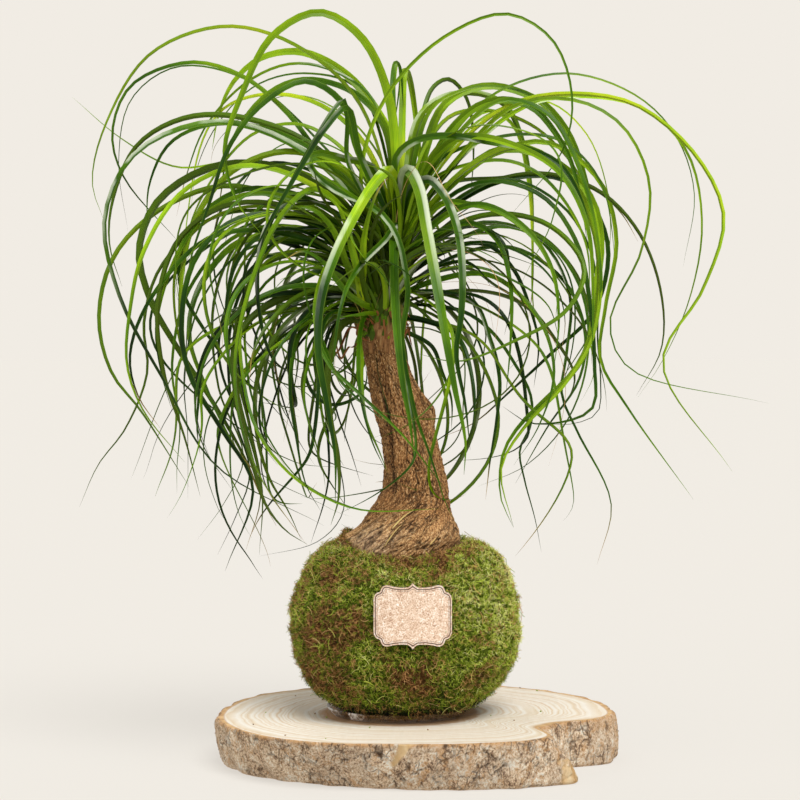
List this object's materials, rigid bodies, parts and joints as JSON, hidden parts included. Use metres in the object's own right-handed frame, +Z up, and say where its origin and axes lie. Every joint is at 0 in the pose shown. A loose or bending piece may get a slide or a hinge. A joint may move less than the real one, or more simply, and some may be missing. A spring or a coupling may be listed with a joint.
{
  "type": "ponytail palm grown as a moss ball on a wood slice",
  "caption": "Ponytail palm with a woody trunk and a head of long arching leaves, rooted in a moss-wrapped soil ball that stands in a clear saucer on a slice of tree trunk.",
  "frame": {"origin": "centre of the wood slice's flat underside", "axes": "+Z up, -Y towards the front with the card, +X to the right seen from the front"},
  "size_m": [0.4489, 0.3007, 0.4764],
  "materials": {
    "slice_wood": "sawn pale wood with grey-brown bark",
    "clear_plastic": "clear glossy plastic",
    "soil": "moist dark soil",
    "moss": "matte fibrous moss",
    "trunk_bark": "rough furrowed bark",
    "leaf": "satin green leaf",
    "card": "speckled card with a dark border line"
  },
  "bodies": {
    "root": {"wood_slice": "slice_wood", "saucer": "clear_plastic", "soil_ball": "soil", "moss_cover": "moss", "card": "card", "trunk": "trunk_bark", "leaf_crown": "leaf"}
  },
  "joints": []
}
